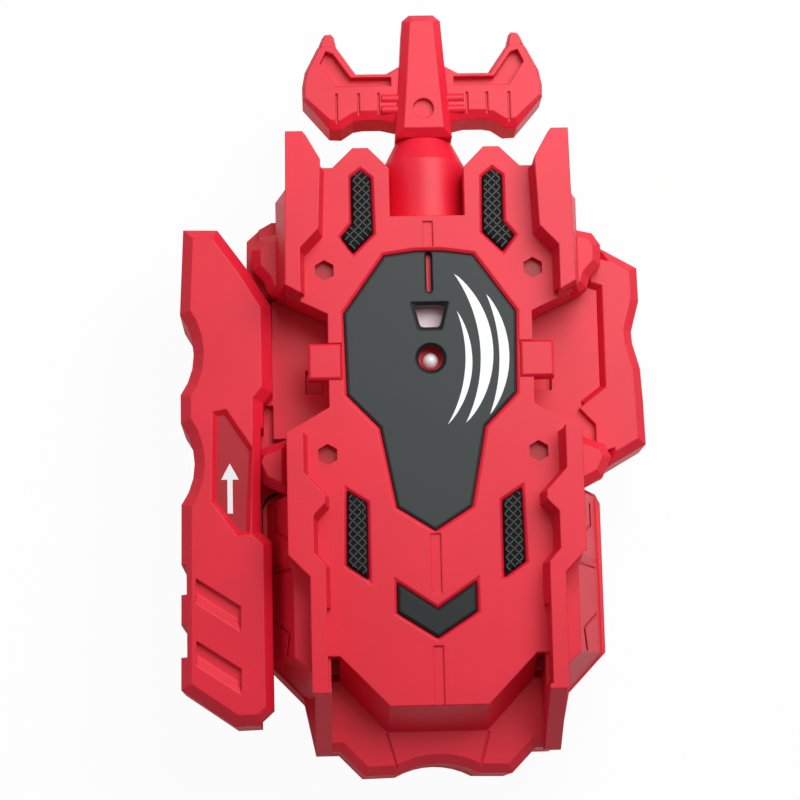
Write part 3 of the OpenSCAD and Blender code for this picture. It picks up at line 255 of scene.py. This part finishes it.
def shifted(points, distance, closed=True):
    """Outline or path moved to the left of its direction of travel, with mitred corners."""
    moved = []
    last = len(points) - 1
    for i, (x, y) in enumerate(points):
        sides = []
        if closed or i > 0:
            bx, by = points[i - 1]
            sides.append(Vector((by - y, x - bx)).normalized())
        if closed or i < last:
            ax, ay = points[(i + 1) % len(points)]
            sides.append(Vector((y - ay, ax - x)).normalized())
        total = sum(sides, Vector((0, 0)))
        step = total * (distance * len(sides) / total.length_squared)
        moved.append((x + step.x, y + step.y))
    return moved


def rounded(points, radius, steps=5):
    """Outline with its corners rounded off."""
    smooth = []
    for i, corner in enumerate(points):
        c = Vector(corner)
        a = c + (Vector(points[i - 1]) - c).normalized() * radius
        b = c + (Vector(points[(i + 1) % len(points)]) - c).normalized() * radius
        for k in range(steps + 1):
            t = k / steps
            p = a * (1 - t) ** 2 + c * 2 * t * (1 - t) + b * t ** 2
            smooth.append((p.x, p.y))
    return smooth


def midpoint(a, b):
    """Middle of the line between two points."""
    return ((a[0] + b[0]) / 2, (a[1] + b[1]) / 2)


def flat_topped(centre, radius):
    """Hexagon with a side on the top, as twelve points: each corner and then the middle of a side."""
    corners = ring(radius, 6, centre)
    return [q for a, b in zip(corners, corners[1:] + corners[:1]) for q in (a, midpoint(a, b))]


def pointed(centre, radius):
    """Hexagon with a corner on the top, as twelve points that match those of a flat-topped one."""
    corners = ring(radius, 6, centre, math.pi / 6)
    return [q for a, b in zip(corners[-1:] + corners[:-1], corners) for q in (midpoint(a, b), b)]


def crescent(centre, r_in, r_out, a0, a1, taper=0.8, steps=28):
    """Outline of a stripe along an arc in degrees that tapers to points at both ends."""
    cx, cy = centre
    outer = []
    inner = []
    for i in range(steps + 1):
        t = i / steps
        a = math.radians(a0 + (a1 - a0) * t)
        r = r_in + (r_out - r_in) * math.sin(math.pi * t) ** taper
        outer.append((cx + r * math.cos(a), cy + r * math.sin(a)))
        inner.append((cx + r_in * math.cos(a), cy + r_in * math.sin(a)))
    return outer + inner[::-1][1:-1]


# Solids: closed meshes through outlines
def solid(name, verts, faces, material):
    """New object in the scene, from vertices in metres."""
    mesh = bpy.data.meshes.new(name)
    mesh.from_pydata(verts, [], faces)
    mesh.update()
    obj = bpy.data.objects.new(name, mesh)
    bpy.context.scene.collection.objects.link(obj)
    mesh.materials.append(material)
    return obj


def piece(name, verts, faces, material, body):
    """Solid that rides on a body, with the given material."""
    obj = solid(name, verts, faces, material)
    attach(obj, body)
    return obj


def stacked(loops):
    """Vertices in metres of loops of (points, height) in millimetres."""
    return [(x * MM, y * MM, z * MM) for points, z in loops for x, y in points]


def tube_faces(rings, n, first=0):
    """Faces that join rings of n vertices into a closed solid, from the vertex numbered first."""
    last = first + (rings - 1) * n
    faces = [list(range(first, first + n))[::-1], list(range(last, last + n))]
    for a in range(first, last, n):
        b = a + n
        faces += [[a + k, a + (k + 1) % n, b + (k + 1) % n, b + k] for k in range(n)]
    return faces


def loft(name, loops, material, body):
    """Closed piece through loops of (points, height) in millimetres, the first at the foot."""
    faces = tube_faces(len(loops), len(loops[0][0]))
    piece(name, stacked(loops), faces, material, body)


def plate(name, points, foot, top, material, body):
    """Piece with upright walls through points, between two heights, all in millimetres."""
    loft(name, [(points, foot), (points, top)], material, body)


def turn_outward(mesh):
    """Makes all faces of a closed mesh point outward."""
    shape = bmesh.new()
    shape.from_mesh(mesh)
    bmesh.ops.recalc_face_normals(shape, faces=shape.faces)
    shape.to_mesh(mesh)
    shape.free()


def band(name, loops, material, body, closed=True):
    """Solid strip whose section runs through loops of (points, height), all in millimetres."""
    n = len(loops[0][0])
    m = len(loops)
    faces = []
    for i in range(m):
        j = (i + 1) % m
        for k in range(n if closed else n - 1):
            q = (k + 1) % n
            faces.append([i * n + k, i * n + q, j * n + q, j * n + k])
    if not closed:
        faces.append([i * n for i in range(m)][::-1])
        faces.append([i * n + n - 1 for i in range(m)])
    obj = piece(name, stacked(loops), faces, material, body)
    turn_outward(obj.data)


# Knurled tops of the four pads: ribs in two directions, which run past the flat top by the lap. The ribs
# are a lighter grey than the black pad, as painted highlight on their crests
PADS = ("front_left_pad", "front_right_pad", "rear_left_pad", "rear_right_pad")
RIB_PITCH = 1.05
RIB_ROWS = 12
RIB_W = 0.24
RIB_CREST = RIB_W / 3
RIB_H = 0.22
RIB_FOOT = -0.35
RIB_LAP = 0.30
RIB_SECTION = [(-RIB_W / 2, RIB_FOOT), (-RIB_CREST, RIB_H), (RIB_CREST, RIB_H), (RIB_W / 2, RIB_FOOT)]
FLAT_NORMAL = 0.99
FLAT_TOLERANCE = 0.02


def pad_outline(name):
    """Corner points in millimetres of the flat top of a pad, in order."""
    mesh = NODES[name].data
    place = NODES[name].matrix_world
    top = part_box(name)[1].z
    edges = set()
    for face in mesh.polygons:
        level = abs((place @ face.center).z - top) < FLAT_TOLERANCE * MM
        if level and face.normal.z > FLAT_NORMAL:
            spots = [place @ mesh.vertices[i].co / MM for i in face.vertices]
            corners = [(round(p.x, 3), round(p.y, 3)) for p in spots]
            edges.update(zip(corners, corners[1:] + corners[:1]))
    follow = {start: end for start, end in edges if (end, start) not in edges}
    first = min(follow)
    points = [first]
    while follow[points[-1]] != first:
        points.append(follow[points[-1]])
    return points


def crossings(points, origin, along):
    """Places where a straight line enters and leaves an outline, as distances along the line."""
    found = []
    for (ax, ay), (bx, by) in zip(points, points[1:] + points[:1]):
        side_a = (ax - origin[0]) * along[1] - (ay - origin[1]) * along[0]
        side_b = (bx - origin[0]) * along[1] - (by - origin[1]) * along[0]
        if (side_a > 0) != (side_b > 0):
            t = side_a / (side_a - side_b)
            x, y = ax + (bx - ax) * t, ay + (by - ay) * t
            found.append((x - origin[0]) * along[0] + (y - origin[1]) * along[1])
    return sorted(found)


def knurl(name):
    """Raised diagonal ribs that cross on a pad, with square pits between them."""
    outline = pad_outline(name)
    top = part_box(name)[1].z
    cx = sum(p[0] for p in outline) / len(outline)
    cy = sum(p[1] for p in outline) / len(outline)
    verts = []
    faces = []
    for lean in (math.pi / 4, -math.pi / 4):
        along = (math.cos(lean), math.sin(lean))
        across = (-along[1], along[0])
        for row in range(-RIB_ROWS, RIB_ROWS + 1):
            origin = (cx + across[0] * RIB_PITCH * row, cy + across[1] * RIB_PITCH * row)
            places = crossings(outline, origin, along)
            for t0, t1 in zip(places[::2], places[1::2]):
                faces += tube_faces(2, len(RIB_SECTION), len(verts))
                for t in (t0 - RIB_LAP, t1 + RIB_LAP):
                    for w, z in RIB_SECTION:
                        x = origin[0] + along[0] * t + across[0] * w
                        y = origin[1] + along[1] * t + across[1] * w
                        verts.append((x * MM, y * MM, top + z * MM))
    piece(name + "_ribs", verts, faces, rib_highlight_grey, "casing")


for pad in PADS:
    knurl(pad)

# Black chamfered edges of the panel's three windows
KEYSTONE = [(-3.3, 9.8), (-2.04, 4.92), (2.04, 4.92), (3.3, 9.8)]
KEYSTONE_LAP = 0.15
KEYSTONE_CORNER_R = 0.7
WINDOW_R = 2.6
SLOT_R = 0.65
SLOT_ENDS = (18.0, 12.0)
EDGE_LAP = 0.12
EDGE_W = 0.5
SLOT_EDGE_W = 0.22
EDGE_RISE = 0.04
EDGE_DIP = 0.30
EDGE_DEPTH = 0.55


def stadium(radius, sides=12):
    """Outline of the indicator slot."""
    outline = []
    for y, turn in zip(SLOT_ENDS, (0, math.pi)):
        for k in range(sides + 1):
            a = turn + math.pi * k / sides
            outline.append((radius * math.cos(a), y + radius * math.sin(a)))
    return outline


def keystone(distance):
    """Outline of the keystone window, moved inward, with rounded corners."""
    return rounded(shifted(KEYSTONE, distance), KEYSTONE_CORNER_R)


def window_edge(name, outer, inner):
    """Frame that slopes down from the panel's top into a window."""
    foot = PANEL_TOP - EDGE_DEPTH
    loops = [(outer, PANEL_TOP + EDGE_RISE), (inner, PANEL_TOP - EDGE_DIP), (inner, foot), (outer, foot)]
    band(name, loops, black_edge, "casing")


window_edge("keystone_edge", keystone(-KEYSTONE_LAP), keystone(EDGE_W))
window_edge("round_window_edge", ring(WINDOW_R + EDGE_LAP), ring(WINDOW_R - EDGE_W))
window_edge("slot_edge", stadium(SLOT_R + EDGE_LAP), stadium(SLOT_R - SLOT_EDGE_W))

# Pale rim of the upper gear, which fills the keystone window
RIM_R_IN = 9.5
RIM_R_OUT = 10.25
RIM_T = 0.3
rim_in, rim_out = ring(RIM_R_IN), ring(RIM_R_OUT)
rim_foot = GEAR_TOP - RIM_T
band("upper_gear_rim", [(rim_in, GEAR_TOP), (rim_out, GEAR_TOP), (rim_out, rim_foot), (rim_in, rim_foot)],
     pale_gear, "upper_pinion")

# Flange of the left grip, under the cross plate's level, that closes the gap beside the casing
FLANGE = [(-33.0, -5.4), (-22.6, -5.4), (-22.6, -18.69), (-28.4, -21.7), (-28.75, -22.0),
          (-29.42, -23.6), (-29.42, -31.0), (-33.0, -31.0)]
FLANGE_TOP = 18.0
plate("grip_flange", FLANGE, GRIP_FOOT, FLANGE_TOP, red, "side_frame")

# Corners of the cross plate beside the ears, clear of the screw columns when the frame slides
PLATE_CORNERS = {
    "front": [(25.9, 11.4), (31.0, 11.4), (31.0, 16.6), (28.9, 16.6), (28.5, 15.2), (28.1, 14.3),
              (27.3, 13.4), (26.4, 12.95)],
    "rear": [(26.3, -11.2), (26.3, -13.2), (26.9, -13.5), (27.7, -14.2), (28.4, -15.2), (28.6, -16.2),
             (28.9, -17.0), (30.5, -17.0), (30.5, -11.2)],
}
for end, outline in PLATE_CORNERS.items():
    plate(f"plate_corner_{end}", outline, PLATE_FOOT, PLATE_TOP + PROUD, red_flat, "side_frame")

# Both sides of the launcher: a name, and what turns a right-hand outline to that side
BOTH_SIDES = (("right", list), ("left", mirrored))

# Floors of the two small windows of the cross plate
HOLE = [(18.4, -4.0), (21.4, -4.0), (21.4, -0.1), (18.4, -0.1)]
HOLE_FLOOR = PLATE_FOOT + PROUD
HOLE_FLOOR_T = 0.2
for side, turn in BOTH_SIDES:
    plate(f"plate_floor_{side}", turn(HOLE), HOLE_FLOOR, HOLE_FLOOR + HOLE_FLOOR_T, red, "side_frame")

# Webs of the rear deck between the hood and the fins
DECK_WEB = [(14.5, -48.6), (18.4, -48.6), (18.4, -52.8), (14.5, -52.8)]
DECK_FOOT = 18.2
DECK_TOP = 20.08
for side, turn in BOTH_SIDES:
    plate(f"deck_web_{side}", turn(DECK_WEB), DECK_FOOT, DECK_TOP, red, "casing")

# Sloped foot of the wing's step and of the fins' inner walls
STEP_PATH = [(27.0, -6.88), (30.8, -4.0), (30.8, 14.2), (28.6, 14.95)]
STEP_SLOPE_W = 0.9
FIN_PATHS = {
    "front": [(22.0, 11.2), (22.0, 18.3), (18.8, 21.7), (18.35, 33.2)],
    "rear": [(18.55, -42.5), (18.6, -35.8), (20.5, -33.6), (20.5, -27.4), (18.5, -25.3), (18.5, -23.9),
             (22.0, -20.1), (22.0, -13.0)],
}
FIN_SLOPE_W = 0.7
FIN_SLOPE_DROP = 2.0
WALL_LAP = 0.05


def slope(name, path, width, high, low, body):
    """Sloped strip that leans on a wall along a path, with its foot on the wall's left."""
    wall = shifted(path, -WALL_LAP, False)
    foot = shifted(path, width, False)
    band(name, [(wall, high), (foot, low), (wall, low)], red, body, closed=False)


slope("wing_step_slope", STEP_PATH, STEP_SLOPE_W, WING_TOP, PLATE_TOP, "side_frame")
for side, turn in BOTH_SIDES:
    for end, path in FIN_PATHS.items():
        slope(f"{end}_{side}_fin_slope", turn(path), FIN_SLOPE_W, FIN_TOP - FIN_SLOPE_DROP, ROOF_TOP,
              "casing")

# Hexagonal liners of the four visible screw sockets, their floors in a darker red as painted shade, and
# plugs in the two at the rear
SOCKETS = [(17.91, 15.6), (17.91, -16.31)]
PLUG = (16.8, -46.2)
SOCKET_FLATS = 3.7
SOCKET_R = SOCKET_FLATS / math.sqrt(3)
SOCKET_GAP = 0.01
SOCKET_BORE_R = SOCKET_R * 0.86
SOCKET_FLOOR_R = SOCKET_R * 0.9
SOCKET_FLOOR_T = 0.3
SOCKET_RIM_R = 2.8
SOCKET_DEPTH = 1.75
SOCKET_FLOOR = ROOF_TOP - SOCKET_DEPTH
for side, sx in (("left", -1), ("right", 1)):
    for i, (x, y) in enumerate(SOCKETS):
        place = (sx * x, y)
        rim = pointed(place, SOCKET_RIM_R)
        outer = flat_topped(place, SOCKET_R - SOCKET_GAP)
        inner = pointed(place, SOCKET_BORE_R)
        band(f"socket_liner_{i}_{side}",
             [(rim, ROOF_TOP + PROUD), (inner, ROOF_TOP + PROUD), (inner, SOCKET_FLOOR),
              (outer, SOCKET_FLOOR), (outer, ROOF_TOP - PROUD), (rim, ROOF_TOP - PROUD)],
             red_flat, "casing")
        plate(f"socket_floor_{i}_{side}", ring(SOCKET_FLOOR_R, 6, place, math.pi / 6), SOCKET_FLOOR,
              SOCKET_FLOOR + SOCKET_FLOOR_T, painted_shade_red, "casing")
    plug_outline = ring(SOCKET_RIM_R, 6, (sx * PLUG[0], PLUG[1]))
    plate(f"socket_plug_{side}", plug_outline, SOCKET_FLOOR, ROOF_TOP + PROUD, red_flat, "casing")

# Stepped cheek of the left front ear, in front of the cross plate's way
CHEEK_LOW = [(-28.1, 12.95), (-26.2, 12.95), (-26.2, 26.6), (-27.0, 26.6), (-29.4, 25.2), (-31.4, 23.4),
             (-31.5, 18.6), (-31.2, 17.9)]
CHEEK_HIGH = [(-28.1, 12.95), (-26.2, 12.95), (-26.2, 26.4), (-27.0, 26.4), (-29.3, 25.1), (-29.3, 14.9)]
CHEEK_FOOT = 12.0
CHEEK_STEP = 19.4
CHEEK_TOP = 20.9
plate("ear_cheek_low", CHEEK_LOW, CHEEK_FOOT, CHEEK_STEP, red, "casing")
plate("ear_cheek_high", CHEEK_HIGH, CHEEK_STEP, CHEEK_TOP, red, "casing")

# Blunt ends over the pointed horns of the handle, bevelled at the foot and at the top
HORN_END = [(14.95, 56.9), (16.5, 56.6), (18.35, 57.1), (17.55, 59.0), (17.05, 59.7), (15.95, 59.8),
            (15.45, 59.2)]
HORN_FOOT = 15.97
HORN_TOP = 24.83
HORN_SLOPE_H = 1.0
HORN_SLOPE_W = 0.5
for side, turn in BOTH_SIDES:
    full = turn(HORN_END)
    small = shifted(full, HORN_SLOPE_W)
    loft(f"horn_end_{side}",
         [(small, HORN_FOOT), (full, HORN_FOOT + HORN_SLOPE_H),
          (full, HORN_TOP - HORN_SLOPE_H), (small, HORN_TOP)],
         red_flat, "handle")

# Filler of the side frame below the cross plate, between the grip and the left front ear
FILLER = [(-28.9, 9.0), (-26.35, 9.0), (-26.35, 12.8), (-28.6, 12.8)]
FILLER_FOOT = 12.0
FILLER_TOP = 18.1
plate("grip_filler", FILLER, FILLER_FOOT, FILLER_TOP, red, "side_frame")

# Stretch of the pull string between the nozzle and the knot
STRING_X = 0.0
STRING_Z = 20.4
STRING_D = 1.0
STRING_SLEEVE_T = 0.03
STRING_ENDS = (28.0, 45.0)
STRING_RINGS = 24
STRING_SIDES = 12


def drawn_string():
    """Thin straight tube along Y whose rings spread out between the casing and the handle."""
    y0, y1 = STRING_ENDS
    section = ring(STRING_D / 2 + STRING_SLEEVE_T, STRING_SIDES)[::-1]
    verts = []
    for i in range(STRING_RINGS + 1):
        y = y0 + (y1 - y0) * i / STRING_RINGS
        verts += [((STRING_X + x) * MM, y * MM, (STRING_Z + z) * MM) for x, z in section]
    faces = tube_faces(STRING_RINGS + 1, STRING_SIDES)
    obj = solid("drawn_string", verts, faces, MATERIALS["string"])
    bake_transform(obj)


drawn_string()

# Floor of the left grip's label recess in a darker red as painted shade, and a white arrow on it that
# points the way the string is pulled
LABEL = [(-37.41, -8.19), (-35.1, -7.7), (-30.51, -14.7), (-31.29, -29.33), (-33.39, -29.61),
         (-37.71, -23.73)]
LABEL_SLOPE_W = 0.8
LABEL_DEPTH = 1.0
LABEL_BASE = GRIP_TOP - LABEL_DEPTH
LABEL_SUNK = 0.03
ARROW = [(-0.45, -4.6), (0.45, -4.6), (0.45, 1.2), (1.5, 1.2), (0, 4.0), (-1.5, 1.2), (-0.45, 1.2)]
ARROW_PLACE = (-34.6, -21.0)
ARROW_T = 0.08
arrow = [(x + ARROW_PLACE[0], y + ARROW_PLACE[1]) for x, y in ARROW]
plate("label_floor", shifted(LABEL, -LABEL_SLOPE_W), LABEL_BASE - LABEL_SUNK, LABEL_BASE + PROUD,
      painted_shade_red, "side_frame")
plate("grip_arrow", arrow, LABEL_BASE, LABEL_BASE + ARROW_T, ink, "side_frame")

# Three tapered stripes along the panel's right edge, a generic design: two radii and two angles each
STRIPES = [(26.0, 28.2, 33, -27), (29.2, 30.9, 21, -21), (23.4, 24.6, 19, -31)]
STRIPE_CENTRE = (-17.5, 0.5)
STRIPE_T = 0.06
for i, (r_in, r_out, a0, a1) in enumerate(STRIPES):
    plate(f"panel_stripe_{i}", crescent(STRIPE_CENTRE, r_in, r_out, a0, a1), PANEL_TOP,
          PANEL_TOP + STRIPE_T, ink, "casing")

# Studio: a pale floor, an even sky and two soft lights, in metres and watts
FLOOR_HALF = 3.0
FLOOR_ROUGH = 0.9
FLOOR_WHITE_SHARE = 0.955
SKY_STRENGTH = 0.26
LIGHT_TARGET = Vector((0, -0.015, 0.02))
LIGHTS = {
    "key": {"place": (0.11, 0.14, 0.30), "size": 0.26, "power": 1.15},
    "fill": {"place": (-0.5, 0.25, 0.5), "size": 0.7, "power": 0.75},
}


def stage_material(name, colour, white_share):
    """Backdrop that the camera sees nearly white, while the object gets its plain colour."""
    material, tree, bsdf = blank(name)
    set_inputs(bsdf, Base_Color=colour, Roughness=FLOOR_ROUGH)
    path = tree.nodes.new("ShaderNodeLightPath")
    glow = node(tree, "ShaderNodeEmission", Color=WHITE)
    share = tree.nodes.new("ShaderNodeMath")
    share.operation = "MULTIPLY"
    share.inputs[1].default_value = white_share
    tree.links.new(path.outputs["Is Camera Ray"], share.inputs[0])
    mix = tree.nodes.new("ShaderNodeMixShader")
    tree.links.new(share.outputs[0], mix.inputs[0])
    tree.links.new(bsdf.outputs[0], mix.inputs[1])
    tree.links.new(glow.outputs[0], mix.inputs[2])
    tree.links.new(mix.outputs[0], tree.nodes["Material Output"].inputs["Surface"])
    return material


def softbox(name, place, size, power):
    """Square area light that points at the launcher."""
    light = bpy.data.lights.new(name, "AREA")
    light.shape = "SQUARE"
    light.size = size
    light.energy = power
    obj = bpy.data.objects.new(name, light)
    bpy.context.scene.collection.objects.link(obj)
    obj.location = place
    obj.rotation_euler = (LIGHT_TARGET - Vector(place)).to_track_quat("-Z", "Y").to_euler()


floor_corners = [(sx * FLOOR_HALF, sy * FLOOR_HALF, TABLE_TOP * MM)
                 for sx, sy in ((-1, -1), (1, -1), (1, 1), (-1, 1))]
floor_paint = stage_material("floor", FLOOR_GREY, FLOOR_WHITE_SHARE)
floor = solid("floor", floor_corners, [[0, 1, 2, 3]], floor_paint)

world = bpy.data.worlds.new("studio")
bpy.context.scene.world = world
world.use_nodes = True
set_inputs(world.node_tree.nodes["Background"], Color=WHITE, Strength=SKY_STRENGTH)

for name, light in LIGHTS.items():
    softbox(name, **light)

# Camera at the photograph's viewing angle, its place in millimetres
CAMERA_PLACE = Vector((-20.34, -80.11, 443.35)) * MM
CAMERA_RIGHT = Vector((0.99921, -0.02372, 0.03178))
CAMERA_UP = Vector((0.01782, 0.98452, 0.17435))
CAMERA_SENSOR = 36.0
CAMERA_LENS = 111.2
CAMERA_CLIP_START = 0.01
camera_data = bpy.data.cameras.new("camera")
camera_data.sensor_width = CAMERA_SENSOR
camera_data.lens = CAMERA_LENS
camera_data.clip_start = CAMERA_CLIP_START
camera = bpy.data.objects.new("camera", camera_data)
bpy.context.scene.collection.objects.link(camera)
back = CAMERA_RIGHT.cross(CAMERA_UP).normalized()
right = CAMERA_UP.cross(back).normalized()
axes = Matrix((right, CAMERA_UP, back)).transposed().to_4x4()
camera.matrix_world = Matrix.Translation(CAMERA_PLACE) @ axes
bpy.context.scene.camera = camera

bpy.context.scene.view_settings.view_transform = "Standard"
